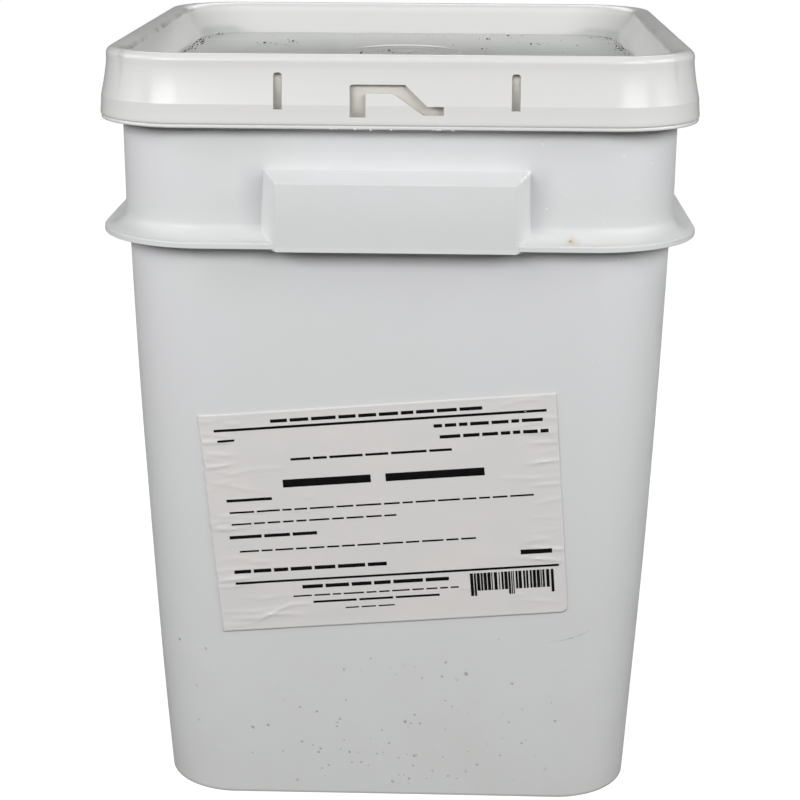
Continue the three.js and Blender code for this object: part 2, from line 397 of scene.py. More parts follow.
# %% [markdown]
# The grips that grow out of the neck and the slots in the lid are easier to join and to cut than to pull
# out of one mesh. The Boolean modifier does that on two closed meshes.

# %% Joining and cutting
def combine(bm, tool_bm, operation):
    """Joins the tool to the mesh, or cuts it out. Both are used up, and a new bmesh comes back."""
    work = add_object("work", finished_mesh("work", bm))
    tool = add_object("tool", finished_mesh("tool", tool_bm))
    modifier = work.modifiers.new("combine", "BOOLEAN")
    modifier.operation = operation
    modifier.solver = "EXACT"
    modifier.object = tool
    bpy.context.view_layer.update()
    result = bmesh.new()
    result.from_object(work, bpy.context.evaluated_depsgraph_get())
    for thing in (work, tool):
        mesh = thing.data
        bpy.data.objects.remove(thing)
        bpy.data.meshes.remove(mesh)
    print(operation, "gives", len(result.faces), "faces")
    return result


# %% [markdown]
# The pail's body widens upwards, so that empty pails nest, and its walls bow out a little under the
# weight of what they hold. A large hollow moulding is never perfectly flat either, so the walls get long,
# shallow waves. The label will follow the same wall, so the wall is a function of place.

# %% The wall of the body
BODY_BOTTOM = (105.9, 72.6)
BODY_TOP = (115.5, 79.8)
BODY_BULGE = 1.3
COLLAR_UNDERSIDE = 258.0
WAVE_HEIGHT = 0.22
WAVE_LENGTH = 80
WAVE_FADE = 25


def wall_level(z):
    """Half width, half flat and height of the body's wall, without its waves."""
    t = z / COLLAR_UNDERSIDE
    half = BODY_BOTTOM[0] + (BODY_TOP[0] - BODY_BOTTOM[0]) * t + BODY_BULGE * 4 * t * (1 - t)
    return half, BODY_BOTTOM[1] + (BODY_TOP[1] - BODY_BOTTOM[1]) * t, z


def wall_wave(place):
    """How far the wall stands out there, in mm. It fades away towards the foot and the collar."""
    strength = min(1, max(0, place.z / WAVE_FADE), max(0, (COLLAR_UNDERSIDE - place.z) / WAVE_FADE))
    return WAVE_HEIGHT * strength * noise.noise(place / WAVE_LENGTH)


def front_point(level, x):
    """The point at that x on the front of a rounded square."""
    half, straight, z = level
    over = max(0, abs(x) - straight)
    return Vector((x, -straight - sqrt((half - straight) ** 2 - over ** 2), z))


# %% [markdown]
# The body is one stack of rings from the foot to the collar. The foot is nearly sharp, and each of its
# four sides arches up by a tenth of a millimetre, so the pail stands on its corners. The waves are added
# to the finished wall, straight outwards.

# %% Body
WALL_STEP = 10
FOOT_ARCH = 0.1

pail_bm = bmesh.new()
ring = rounded_ring(pail_bm, *wall_level(0))
foot_edges = ring
bottom = bmesh.ops.contextual_create(pail_bm, geom=ring)["faces"]
wall = [wall_level(z) for z in (*range(0, int(COLLAR_UNDERSIDE), WALL_STEP), COLLAR_UNDERSIDE)]
ring = lift(pail_bm, ring, wall)
for vert in pail_bm.verts:
    flat = wall_level(vert.co.z)[1]
    outwards = Vector((vert.co.x - clamp(vert.co.x, flat), vert.co.y - clamp(vert.co.y, flat), 0))
    vert.co += outwards.normalized() * wall_wave(vert.co)
    if vert.co.z == 0:
        along_flat = min(abs(vert.co.x), abs(vert.co.y)) / flat
        vert.co.z = FOOT_ARCH * max(0, 1 - along_flat ** 2)
print("body rings:", len(wall))

# %% [markdown]
# Above the body comes the collar, a flat flange that stiffens the pail. It sweeps up into the neck, and
# the neck ends in the rim that the lid grips. The bottom is set in a little, as a foot ring. The inside
# is closed under the lid, because nobody sees into a shut pail.

# %% Collar, neck and rim
COLLAR_HALF = 126
COLLAR_STRAIGHT = 80
COLLAR_TOP = 260.6
COLLAR_ROUND = 0.7
COLLAR_LOWER_ROUND = 0.3
NECK = (116.4, 81.4)
NECK_HEIGHTS = (275, 283, 291, 299, 309)
SWEEP = (8, 6.2)
RIM = (118.8, 87.5)
RIM_START = 312
RIM_BEAD = 119.8
RIM_BEAD_HEIGHTS = (315, 326)
RIM_BEAD_END = 328
RIM_TOP = 333.4
RIM_ROUND = 1.2
MOUTH = (113.9, 109.6)
MOUTH_FLOOR = (320, 317)

collar = [wall_level(COLLAR_UNDERSIDE)]
lower = (COLLAR_HALF - COLLAR_LOWER_ROUND, COLLAR_UNDERSIDE + COLLAR_LOWER_ROUND)
collar += arc(lower, (COLLAR_LOWER_ROUND,) * 2, COLLAR_STRAIGHT, -90, 0, 3)
upper = (COLLAR_HALF - COLLAR_ROUND, COLLAR_TOP - COLLAR_ROUND)
collar += arc(upper, (COLLAR_ROUND,) * 2, COLLAR_STRAIGHT, 0, 90, 4)
collar += arc((NECK[0] + SWEEP[0], COLLAR_TOP + SWEEP[1]), SWEEP, NECK[1], -90, -180, 8)
ring = lift(pail_bm, ring, collar)

neck = [collar[-1]]
neck += [(*NECK, z) for z in NECK_HEIGHTS]
neck += [(*RIM, RIM_START)]
neck += [(RIM_BEAD, RIM[1], z) for z in RIM_BEAD_HEIGHTS]
neck += [(*RIM, RIM_BEAD_END), (*RIM, RIM_TOP - RIM_ROUND)]
neck += arc((RIM[0] - RIM_ROUND, RIM_TOP - RIM_ROUND), (RIM_ROUND,) * 2, RIM[1], 0, 90, 3)[1:]
neck += [(MOUTH[0], RIM[1], RIM_TOP)]
neck += [(MOUTH[1], RIM[1], z) for z in MOUTH_FLOOR]
ring = lift(pail_bm, ring, neck)
print("collar and neck rings:", len(collar) + len(neck))

# %% Both ends of the pail
FOOT_RADIUS = 0.3
FOOT_RING = 5
BOTTOM_RISE = 2.5

bmesh.ops.contextual_create(pail_bm, geom=ring)
bmesh.ops.inset_region(pail_bm, faces=bottom, thickness=FOOT_RING, use_boundary=True, use_even_offset=True)
bmesh.ops.translate(pail_bm, vec=(0, 0, BOTTOM_RISE), verts=bottom[0].verts)
round_off(pail_bm, foot_edges, FOOT_RADIUS, 3, "EDGES")
bmesh.ops.recalc_face_normals(pail_bm, faces=pail_bm.faces)
print("pail vertices:", len(pail_bm.verts))

# %% [markdown]
# The two hand grips are hollow boxes that stand out of the neck over the collar, open underneath for the
# fingers. Each one starts as its flat front face, and is extruded back into the neck, wider and higher,
# because a moulding needs draft. The hollow is a second block of the same kind, a wall thickness smaller,
# cut out of the union.

# %% Blocks for the grips
def block(bm, steps, bottom_z):
    """A block that grows back from its front face, towards +Y. Returns the vertices of each step."""
    ends = {vert: (1 if vert.co.x > 0 else -1, vert.co.y > 0) for vert in grid(bm, 1, 1, 1)}
    faces = bm.faces[:]
    rows = []
    for number, (depth, half_top, half_bottom, top_z) in enumerate(steps):
        if number:
            made = bmesh.ops.extrude_face_region(bm, geom=faces)
            faces = new_parts(made, bmesh.types.BMFace)
            fresh = new_parts(made, bmesh.types.BMVert)
            old = list(ends.items())
            ends = {vert: min(old, key=lambda item: (item[0].co - vert.co).length)[1] for vert in fresh}
        for vert, (side, is_top) in ends.items():
            vert.co = (side * (half_top if is_top else half_bottom), -depth, top_z if is_top else bottom_z)
        rows.append(ends)
    bmesh.ops.recalc_face_normals(bm, faces=bm.faces)
    return rows


def grip_pair(make):
    """The same block at the front and at the back."""
    pair = bmesh.new()
    for turn in (0, pi):
        one = bmesh.new()
        make(one)
        bmesh.ops.rotate(one, verts=one.verts, cent=(0, 0, 0), matrix=Matrix.Rotation(turn, 3, "Z"))
        mesh = finished_mesh("grip", one)
        pair.from_mesh(mesh)
        bpy.data.meshes.remove(mesh)
    return pair


# %% Hand grips
GRIP_DEPTH = 128.4
GRIP_BOTTOM = 257.5
GRIP_STEPS = (
    # depth, half width at the top and at the bottom, height of the top
    (GRIP_DEPTH, 48.5, 48.5, 285.5),
    (108.0, 58.5, 61.2, 291.8),
)
HOLLOW_BOTTOM = 250.0
HOLLOW_STEPS = ((126.2, 46.3, 46.3, 282.4), (116.45, 50.4, 51.2, 282.4))
GRIP_ROUND = 0.4
GRIP_EDGE_BREAK = 0.2
NEAR = 0.1


def make_grip(bm):
    """The outside of a grip, with its front and upper edges rounded."""
    rows = block(bm, GRIP_STEPS, GRIP_BOTTOM)
    outline = []
    for edge in bm.edges:
        one, other = edge.verts
        tops = [vert.co.z > GRIP_BOTTOM + NEAR for vert in edge.verts]
        in_front = one in rows[0] and other in rows[0]
        slanted = abs(one.co.y - other.co.y) > NEAR
        if (in_front and any(tops)) or (slanted and all(tops)):
            outline.append(edge)
    round_off(bm, outline, GRIP_ROUND, 4, "EDGES")
    low_front = []
    for edge in bm.edges:
        if all(vert.co.z < GRIP_BOTTOM + NEAR and vert.co.y < NEAR - GRIP_DEPTH for vert in edge.verts):
            low_front.append(edge)
    round_off(bm, low_front, GRIP_EDGE_BREAK, 2, "EDGES")


pail_bm = combine(pail_bm, grip_pair(make_grip), "UNION")
pail_bm = combine(pail_bm, grip_pair(lambda bm: block(bm, HOLLOW_STEPS, HOLLOW_BOTTOM)), "DIFFERENCE")

# %% [markdown]
# The pail's plastic is satin polyethylene, white with a trace of blue grey. It is a little cloudy, has a
# fine moulded grain and a dark line round the foot. Painted shade darkens the walls towards the floor,
# the sweep over the collar and the neck beside the grips. The rim, which only shows through the slots of
# the lid, is painted a darker warm cream, as painted shade and warm bounce light. Each of these is a
# range of heights or widths, in metres, over which one colour fades into the next.

# %% Pail plastic
PAIL_WHITES = ((0.81, 0.825, 0.825), (0.835, 0.83, 0.85))
# The colour low on the walls is painted shade, darker towards the floor.
WALL_SHADE = (0.77, 0.785, 0.765)
WALL_SHADE_TOP = 0.26
FOOT_DARK = (0.34, 0.32, 0.27)
FOOT_LINE = (0.0004, 0.0016)
# The rim's warm cream is painted shade and warm bounce light, seen through the slots of the lid.
RIM_WARM_SHADE = (0.76, 0.74, 0.68)
RIM_SHADE_FROM = (0.3075, 0.3095)

pail_plastic, shader, here = new_material("pail_plastic", 0.42)
_, across, along, up = axes(here)
cloud = ramp(noise_field(here, 13, detail=4), 0.3, 0.7)
# Painted shade: the walls darken towards the floor, broken up by noise.
film = noise_field(here, 26, detail=6, roughness=0.65)
film = product(fade(up, 0, WALL_SHADE_TOP), ramp(film, 0.3, 0.7, 0.25, 0.85))
# A dark line round the foot.
foot_line = product(fade(up, *FOOT_LINE), 0.6)
body_colour = coat(blend(cloud, *PAIL_WHITES), (film, WALL_SHADE), (foot_line, FOOT_DARK))
print("pail plastic, nodes:", len(pail_plastic.node_tree.nodes))

# %% Painted shade on the collar and beside the grips
# Painted shade darkens the sweep over the collar.
SWEEP_SHADE = (0.72, 0.73, 0.72)
OVER_COLLAR = (0.2585, 0.2600)
SWEEP_FADE = (0.264, 0.285)
# Painted shadow on the neck beside each grip.
GRIP_SIDE_SHADE = (0.68, 0.69, 0.705)
GRIP_SIDE = (0.053, 0.0545)
GRIP_SIDE_FADE = (0.056, 0.067)
GRIP_FOOT = (0.2600, 0.2625)
GRIP_HEAD = (0.283, 0.294)
NECK_SKIN = (0.1167, 0.1178)

# Painted shade in the sweep over the collar.
sweep_shade = product(ramp(up, *OVER_COLLAR), fade(up, *SWEEP_FADE, 0.5))
# Painted shadow on the neck beside each grip, fading away from it.
grip_side_shade = product(
    ramp(across, *GRIP_SIDE),
    fade(across, *GRIP_SIDE_FADE),
    ramp(up, *GRIP_FOOT),
    fade(along, *NECK_SKIN),
    fade(up, *GRIP_HEAD),
)
# Painted warm shade on the rim under the lid.
rim_warm_shade = ramp(up, *RIM_SHADE_FROM)
body_colour = coat(body_colour, (sweep_shade, SWEEP_SHADE), (grip_side_shade, GRIP_SIDE_SHADE), (rim_warm_shade, RIM_WARM_SHADE))
print("with the painted_shades:", len(pail_plastic.node_tree.nodes))

# %% [markdown]
# One rusty drip has dried on the collar, right of the grip, with a paler smear beside it. Each is a blot:
# an ellipsoid round a place, with a ragged edge from noise.

# %% Drip, smear and shine
STAINS = (
    # centre, radii, raggedness, waves per metre, strength, colour: the smear, the drip and its rusty core
    ((88, -122, 262.2), (13, 5, 2.2), 0.9, 160, 0.55, (0.78, 0.75, 0.60)),
    ((71.5, -121.5, 261.8), (4.6, 4.5, 2.6), 1.1, 420, 0.75, (0.66, 0.53, 0.22)),
    ((70.9, -121.5, 261.9), (2.0, 3, 1.0), 0.9, 900, 1, (0.22, 0.15, 0.05)),
)

for *shape, strength, colour in STAINS:
    body_colour = coat(body_colour, (product(blot(here, *shape), strength), colour))
shine = noise_field(here, 60, detail=4)
feed(shader, {"Base Color": body_colour, "Roughness": ramp(shine, 0.3, 0.7, 0.36, 0.5)})
grain = noise_field(here, 900, detail=2)
roughen(shader, grain, 0.06, 0.0003)

pail_piece = make_piece("pail_moulding", pail_bm, pail_plastic)
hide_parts("pail")

# %% [markdown]
# The lid is one long profile, run round the rounded square: a rolled lip, an upright band, a skirt that
# leans in towards the top, the domed rim, and then down the draft of the recess to the thin sunk panel.
# The same ring is lifted twice, over the outside and over the inside, so the lid is a closed shell with a
# real wall. Down the recess its corners grow rounder.

# %% Outside of the lid
LID_STRAIGHT = 87.5
LIP = (122.1, 306.9)
STEP_Z = 316.4
SKIRT_TOP = (121.35, 331.2)
SKIRT_FLARE = 2.6
SKIRT_CURVE = 1.35
SKIRT_HEIGHTS = (STEP_Z, 316.9, 317.8, 319, 320.4, 322, 323.6, 325.2, 326.8, 328.4, 330, SKIRT_TOP[1])
RIM_CENTRE = (118.4, 332.9)
RIM_RADIUS = 3.0
RECESS_STRAIGHT = 78
PANEL_HALF = 107
PANEL_EDGE_Z = 321.5
PANEL_FILLET = 0.7


def skirt_half(z):
    """Half width of the skirt above its step: it flares out towards the step."""
    down = (SKIRT_TOP[1] - z) / (SKIRT_TOP[1] - STEP_Z)
    return SKIRT_TOP[0] + SKIRT_FLARE * down ** SKIRT_CURVE


def lid_levels(pairs):
    """Levels of the lid that have flats of the same length."""
    return [(half, LID_STRAIGHT, z) for half, z in pairs]


lid_bm = bmesh.new()
lip_ring = rounded_ring(lid_bm, LIP[0], LID_STRAIGHT, LIP[1])
lip = lid_levels([
    LIP, (123.4, 306.75), (124.0, 306.85), (124.2, 307.1), (124.24, 307.45), (124.22, 307.75),
])
groove = lid_levels([(124.12, 307.95), (124.0, 308.12), (124.05, 308.3), (124.35, 308.5)])
bead = lid_levels([
    (124.5, 308.75), (124.56, 309.2), (124.54, 309.8), (124.43, 310.6), (124.34, 311.4), (124.25, 312.3),
    (124.16, 313.4), (124.07, 314.8), (123.99, STEP_Z - 0.1),
])
skirt = lid_levels([(skirt_half(z), z) for z in SKIRT_HEIGHTS])
top = arc(RIM_CENTRE, (RIM_RADIUS,) * 2, LID_STRAIGHT, 0, 90, 7)
dome = [(117.2, 87.4, 335.88), (116, 87.2, 335.75), (114.8, 86.8, 335.45), (113.7, 86.2, 334.9)]
dome += [(112.9, 85.6, 334.1), (112.35, 85.0, 333.1), (111.95, 84.4, 332)]
draft = [(110.8, 82.4, 329.6), (109.5, 80.2, 327), (108.4, 78.6, 324.8)]
fillet_centre = (PANEL_HALF - PANEL_FILLET, PANEL_EDGE_Z + PANEL_FILLET)
fillet = arc(fillet_centre, (PANEL_FILLET,) * 2, RECESS_STRAIGHT, 0, -90, 5)
panel_ring = lift(lid_bm, lip_ring, lip + groove + bead + skirt + top + dome + draft + fillet)

# %% Inside of the lid
UNDER_PANEL_HALF = 105

under = lid_levels([
    LIP, (122.0, 307.6), (122.8, 309.5), (122.8, 312.2), (121.9, 317), (120.2, 328.9),
    (120.2, 332.3), (118.8, 334.1), (114.8, 334), (113.3, 331), (109.4, 322.6),
])
under += [(107.2, 84, 320), (UNDER_PANEL_HALF, RECESS_STRAIGHT, 319.7)]
under_ring = lift(lid_bm, lip_ring, under)
print("lid vertices so far:", len(lid_bm.verts))

# %% [markdown]
# The panel swells a little in the middle. Its rings turn from rounded squares into circles on the way in,
# and the circles carry the gate mark, a low ring with a dished middle where the plastic was injected. The
# underside is closed in the same way, without the mark.

# %% Panel of the lid
PANEL_CROWN = 2.9
PANEL_WALL = 1.8
PANEL_RINGS = 9
CIRCLE_RADIUS = 30
GATE_MARK = (
    # radius, height above the panel
    (27.2, 0), (26.5, 0.08), (25.9, 0.25), (25.2, 0.35), (24.5, 0.28), (23.9, 0.08), (23.2, -0.1),
    (19, -0.15), (17.4, -0.15), (16.8, 0.02), (16.2, 0.02), (15.6, -0.17), (9, -0.2), (4.5, -0.15),
    (3.2, 0.1), (1.4, 0.15),
)
PLAIN_MIDDLE = ((20, 0), (10, 0), (2, 0))


def panel_height(half):
    """Height of the panel's top where its ring has that half width."""
    return PANEL_EDGE_Z + PANEL_CROWN * (1 - (half / PANEL_HALF) ** 2)


def close_panel(ring, half, drop, marks):
    """Draws a panel ring in to a circle and then to the middle. drop is how far it lies under the top."""
    previous = half
    for step in range(1, PANEL_RINGS + 1):
        ring, verts = extrude_ring(lid_bm, ring)
        target = half + (CIRCLE_RADIUS - half) * step / PANEL_RINGS
        for vert in verts:
            square = vert.co.xy * (target / previous)
            circle = square.normalized() * target
            vert.co.xy = square.lerp(circle, (step / PANEL_RINGS) ** 2)
            vert.co.z = panel_height(target) - drop
        previous = target
    for radius, relief in marks:
        ring, verts = extrude_ring(lid_bm, ring)
        for vert in verts:
            vert.co.xy = vert.co.xy.normalized() * radius
            vert.co.z = panel_height(radius) - drop + relief
    bmesh.ops.contextual_create(lid_bm, geom=ring)


close_panel(panel_ring, PANEL_HALF - PANEL_FILLET, 0, GATE_MARK)
close_panel(under_ring, UNDER_PANEL_HALF, PANEL_WALL, PLAIN_MIDDLE)
bmesh.ops.recalc_face_normals(lid_bm, faces=lid_bm.faces)
print("lid vertices:", len(lid_bm.verts))

# %% [markdown]
# The skirt has narrow upright slots, and at the front a bent slot where the tear tab starts. They go
# right through the wall, so they are cut with the Boolean modifier. A cutter is a flat outline, extruded
# into a bar that stops before the rim of the pail.

# %% Slots in the skirt
SLOT_PLACE = 47.4
SLOT_HALF = 1.75
SLOT_CORNERS = ((-1, 314.5), (1, 314.5), (1, 328.8), (-1, 328.8))
SLOT_ROUND_CORNERS = (2, 3)
SLOT_ROUND = 1.2
CUT_FROM = 132
CUT_TO = 119.15
TAB_OUTLINE = (
    (-18.7, 311.6), (-12.3, 311.6), (-12.3, 320.9), (-1.5, 320.9), (10.8, 312.5), (18.8, 312.5),
    (18.8, 316), (12.4, 316), (3.3, 324.4), (-18.7, 324.4),
)
TAB_ROUND_CORNERS = (9,)


def cutter(bm, outline, rounded, turn):
    """A bar with that outline in X and Z, through the front of the skirt, turned about the pail's axis."""
    others = set(bm.faces)
    verts = [bm.verts.new((x, -CUT_FROM, z)) for x, z in outline]
    bm.faces.new(verts)
    round_off(bm, [verts[i] for i in rounded], SLOT_ROUND, 4, "VERTICES")
    made = bmesh.ops.extrude_face_region(bm, geom=list(set(bm.faces) - others))
    far_verts = new_parts(made, bmesh.types.BMVert)
    bmesh.ops.translate(bm, vec=(0, CUT_FROM - CUT_TO, 0), verts=far_verts)
    bar_verts = {vert for face in set(bm.faces) - others for vert in face.verts}
    spin = Matrix.Rotation(radians(turn), 3, "Z")
    bmesh.ops.rotate(bm, verts=list(bar_verts), cent=(0, 0, 0), matrix=spin)


cutter_bm = bmesh.new()
for turn in (0, 90, 180, 270):
    for place in (-SLOT_PLACE, SLOT_PLACE):
        corners = [(place + side * SLOT_HALF, z) for side, z in SLOT_CORNERS]
        cutter(cutter_bm, corners, SLOT_ROUND_CORNERS, turn)
cutter(cutter_bm, TAB_OUTLINE, TAB_ROUND_CORNERS, 0)
bmesh.ops.recalc_face_normals(cutter_bm, faces=cutter_bm.faces)
lid_bm = combine(lid_bm, cutter_bm, "DIFFERENCE")

# %% [markdown]
# The lid is the same family of plastic with more gloss, and a warmer white. Its panel is thin, so the
# dark contents show through as a greenish grey, palest on the gate mark and along the front and the back.
# The walls of the recess are a shade darker than the outside, because less light is caught there.

# %% Lid plastic
LID_WHITES = ((0.815, 0.81, 0.80), (0.835, 0.83, 0.825))
RECESS_WHITE = (0.745, 0.745, 0.735)
RECESS_INSIDE = (0.1115, 0.1135)
RECESS_BELOW = (0.331, 0.3345)
DARK_PANEL = ((0.575, 0.60, 0.565), (0.625, 0.645, 0.61))
PALE_PANEL = (0.60, 0.615, 0.59)
PANEL_INSIDE = (0.1045, 0.1075)
PANEL_BELOW = (0.3235, 0.3265)
PALE_MIDDLE = (0.034, 0.046)
PALE_BORDER = (0.064, 0.082)
WANDER = 0.05

lid_plastic, shader, here = new_material("lid_plastic", 0.22)
right, across, along, up = axes(here)
outermost = maths("MAXIMUM", across, along)
without_height = {0: here, 1: (1, 1, 0)}
level = add_node(here, "VectorMath", without_height, operation="MULTIPLY")
wander = product(maths("SUBTRACT", noise_field(here, 22), 0.5), WANDER)
radius = maths("ADD", length(level.outputs["Vector"]), wander)
depth = maths("ADD", along, wander)
print("lid plastic, nodes:", len(lid_plastic.node_tree.nodes))

# %% Colours of the lid
on_panel = product(fade(outermost, *PANEL_INSIDE), fade(up, *PANEL_BELOW))
in_recess = product(fade(outermost, *RECESS_INSIDE), fade(up, *RECESS_BELOW))
pale = maths("MAXIMUM", fade(radius, *PALE_MIDDLE), ramp(depth, *PALE_BORDER))
cloud = noise_field(here, 18, detail=2)
panel_colour = coat(blend(cloud, *DARK_PANEL), (pale, PALE_PANEL))
lid_colour = coat(blend(cloud, *LID_WHITES), (in_recess, RECESS_WHITE), (on_panel, panel_colour))
print("with the colours:", len(lid_plastic.node_tree.nodes))

# %% [markdown]
# Dirt has gathered along the inner edge of the rim, most of it on the left. It is a line at one width,
# broken up by two sizes of noise. The shine and a faint ripple are nearly even, because highlights on a
# glossy lid show every blotch.

# %% Dirt on the rim, and the shine of the lid
RIM_DIRT = (0.30, 0.28, 0.235)
RIM_DIRT_AT = 111.9
RIM_DIRT_WIDTH = (0.0002, 0.0026)
RIM_DIRT_FROM = (0.3325, 0.3335)
LEFT_TO_RIGHT = (-0.02, 0.02, 0.8, 0.25)

off_line = maths("ABSOLUTE", maths("SUBTRACT", across, RIM_DIRT_AT * MM))
crumbs = noise_field(here, 190, detail=5, roughness=0.65)
patches = noise_field(here, 38)
dirt = product(
    fade(off_line, *RIM_DIRT_WIDTH),
    ramp(crumbs, 0.38, 0.62),
    ramp(patches, 0.35, 0.6),
    ramp(right, *LEFT_TO_RIGHT),
    ramp(up, *RIM_DIRT_FROM),
)
lid_colour = coat(lid_colour, (dirt, RIM_DIRT))
shine = noise_field(here, 30, detail=1)
feed(shader, {"Base Color": lid_colour, "Roughness": ramp(shine, 0.2, 0.8, 0.21, 0.24)})
ripples = noise_field(here, 120, detail=2)
roughen(shader, ripples, 0.015, 0.0004)

lid_piece = make_piece("lid_moulding", lid_bm, lid_plastic, sharp=radians(32))
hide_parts("lid")

# %% [markdown]
# The label is a thin sheet of paper stuck to the bowed wall, a few degrees askew. It starts as a flat
# grid. Each of its vertices is turned, wrapped on the wall, and lifted by the wrinkles. The wrinkles are
# short ridges, most of them level and near the ends, where the paper was pulled. Because the lift is a
# function of the flat place, the print can follow the very same wrinkles.

# %% Ridges of the paper
LABEL_SIZE = (152.4, 101.6)
RIDGES = 95
PLAIN_RIDGES = (
    # centre u and v, slope, half length, half width, height
    (-69, -26, 0.05, 7, 0.8, 0.5), (-53, -43, 0.43, 9, 0.6, 0.4), (-41, -39.6, 0.05, 5, 0.6, 0.3),
    (-70, 38.4, 0.0, 7, 0.6, 0.45), (-70, 27.4, 0.1, 7, 0.6, 0.4), (-69, 33, -0.1, 6, 0.5, 0.3),
    (70, 33.6, -0.05, 8, 0.6, 0.35), (71, 29, 0.0, 7, 0.5, 0.35), (70, 20.4, 0.08, 8, 0.6, 0.4),
    (71, 9.8, 0.0, 7, 0.5, 0.3), (70, -20.1, -0.1, 8, 0.7, 0.4),
)


def small_ridges():
    """Small ridges at both ends of the label, two thirds of them on the left."""
    chance = random.Random(7)
    ridges = []
    for _ in range(RIDGES):
        end = chance.choice((-1, -1, 1))
        u = end * (76 - abs(chance.gauss(0, 15)))
        v = chance.uniform(-50, 50)
        slope = chance.gauss(0, 0.14)
        length, width = chance.uniform(3, 11), chance.uniform(0.4, 0.8)
        ridges.append((u, v, slope, length, width, chance.uniform(0.06, 0.24)))
    return ridges


label_ridges = small_ridges() + list(PLAIN_RIDGES)
print("ridges:", len(label_ridges))

# %% Label surface
LABEL_CENTRE = (-4.5, 138.5)
LABEL_TURN = radians(4.66)
LABEL_GAP = 0.35
PAPER_LIFT = 0.10
PAPER_WAVE = (22, 9)
RIDGE_END = 2
RIDGE_SIDE = 6
LEAST_LIFT = 0.02
EDGE_CURL = 0.12
EDGE_CURL_WIDTH = 1.2


def wrinkle(u, v):
    """Height of the paper over the wall at a flat place, in mm."""
    lift_up = PAPER_LIFT + PAPER_LIFT * noise.noise(Vector((u / PAPER_WAVE[0], v / PAPER_WAVE[1], 3)))
    for centre_u, centre_v, slope, length, width, rise in label_ridges:
        du, dv = u - centre_u, v - centre_v
        if abs(du) < length + RIDGE_END and abs(dv) < RIDGE_SIDE:
            off = (dv - slope * du) / width
            lift_up += rise * exp(-off * off) * exp(-((du / length) ** 4))
    edge = min(LABEL_SIZE[0] / 2 - abs(u), LABEL_SIZE[1] / 2 - abs(v))
    return max(LEAST_LIFT, lift_up) + EDGE_CURL * exp(-max(0, edge) / EDGE_CURL_WIDTH)


def on_wall(u, v, extra=0.0):
    """The point of the pail's frame for a flat place on the label."""
    x = LABEL_CENTRE[0] + u * cos(LABEL_TURN) - v * sin(LABEL_TURN)
    z = LABEL_CENTRE[1] + u * sin(LABEL_TURN) + v * cos(LABEL_TURN)
    half, flat, _ = wall_level(z)
    sideways = copysign(max(0, abs(x) - flat) / (half - flat), x)
    outwards = Vector((sideways, -sqrt(1 - sideways ** 2), 0))
    point = front_point(wall_level(z), x)
    return point + outwards * (wall_wave(point) + LABEL_GAP + wrinkle(u, v) + extra)


# %% [markdown]
# The left edge of the paper is a little torn and notched, and its lower right corner is worn round. Both
# are small moves of the vertices at the border of the grid, before it is laid on the wall.

# %% Label sheet
LABEL_CELLS = (190, 127)
TORN_BAND = 1.5
TORN_BITE = (0.25, 0.3)
TORN_WAVE = 2.5
NOTCHES = ((38.4, 0.9), (33.5, 0.5), (27.4, 1.1), (20, 0.4), (-3, 0.4), (-26, 0.8))
NOTCH_WIDTH = 0.8
CORNER_WEAR = 3


def torn(u, v):
    """The flat place, moved to the right where the left edge is torn."""
    left = u + LABEL_SIZE[0] / 2
    if left >= TORN_BAND:
        return u
    bite = TORN_BITE[0] + TORN_BITE[1] * noise.noise(Vector((0, v / TORN_WAVE, 0)))
    bite += sum(deep * exp(-((v - at) / NOTCH_WIDTH) ** 2) for at, deep in NOTCHES)
    return u + bite * (1 - left / TORN_BAND)


label_bm = bmesh.new()
grid(label_bm, *LABEL_CELLS)
bmesh.ops.scale(label_bm, vec=(*LABEL_SIZE, 1), verts=label_bm.verts)
for vert in label_bm.verts:
    u, v = torn(vert.co.x, vert.co.y), vert.co.y
    worn_u, worn_v = u - (LABEL_SIZE[0] / 2 - CORNER_WEAR), -v - (LABEL_SIZE[1] / 2 - CORNER_WEAR)
    if worn_u > 0 and worn_v > 0:
        reach = max(worn_u, worn_v) / hypot(worn_u, worn_v)
        u -= worn_u * (1 - reach)
        v += worn_v * (1 - reach)
    vert.co = on_wall(u, v)
print("label cells:", len(label_bm.faces))

# %% Label paper
PAPER_COLOURS = ((0.81, 0.795, 0.785), (0.835, 0.80, 0.785))
PAPER_THICKNESS = 0.12


def thicken(piece, name, thickness):
    """Gives a sheet its thickness in mm, inwards from the surface that was made."""
    modifier = piece.modifiers.new(name, "SOLIDIFY")
    modifier.thickness = thickness * MM
    modifier.offset = -1


label_paper, shader, here = new_material("label_paper", 0.72)
mottle = noise_field(here, 28, detail=5, roughness=0.6)
feed(shader, {"Base Color": blend(ramp(mottle, 0.35, 0.7), *PAPER_COLOURS)})
fibres = noise_field(here, 1500)
roughen(shader, fibres, 0.15, 0.0002)

label_piece = make_piece("label_sheet", label_bm, label_paper, weighted=False)
thicken(label_piece, "paper thickness", PAPER_THICKNESS)
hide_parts("label")

# %% [markdown]
# The print is kept to plain shapes: two rules, rows of dashes, two long bars, and a block of upright
# bars. They are as thick as the label's balance of light and dark needs. Each shape is a narrow patch of
# the same paper surface, lifted by less than a tenth of a millimetre.

# %% Print helpers
INK_LIFT = 0.08
INK_CELL = 0.8
DASH_GAP = 1.2


def print_patch(bm, u0, u1, v0, v1):
    """One printed rectangle on the label."""
    columns = max(1, round((u1 - u0) / INK_CELL))
    rows = max(1, round((v1 - v0) / INK_CELL))
    for vert in grid(bm, columns, rows):
        u = (u0 + u1) / 2 + vert.co.x * (u1 - u0)
        v = (v0 + v1) / 2 + vert.co.y * (v1 - v0)
        vert.co = on_wall(u, v, INK_LIFT)


def print_row(bm, u0, u1, middle, height, lengths, chance):
    """A row of dashes between u0 and u1. lengths is the shortest and the longest dash."""
    u = u0
    while u < u1 - lengths[0]:
        end = min(u1, u + chance.uniform(*lengths))
        print_patch(bm, u, end, middle - height / 2, middle + height / 2)
        u = end + DASH_GAP


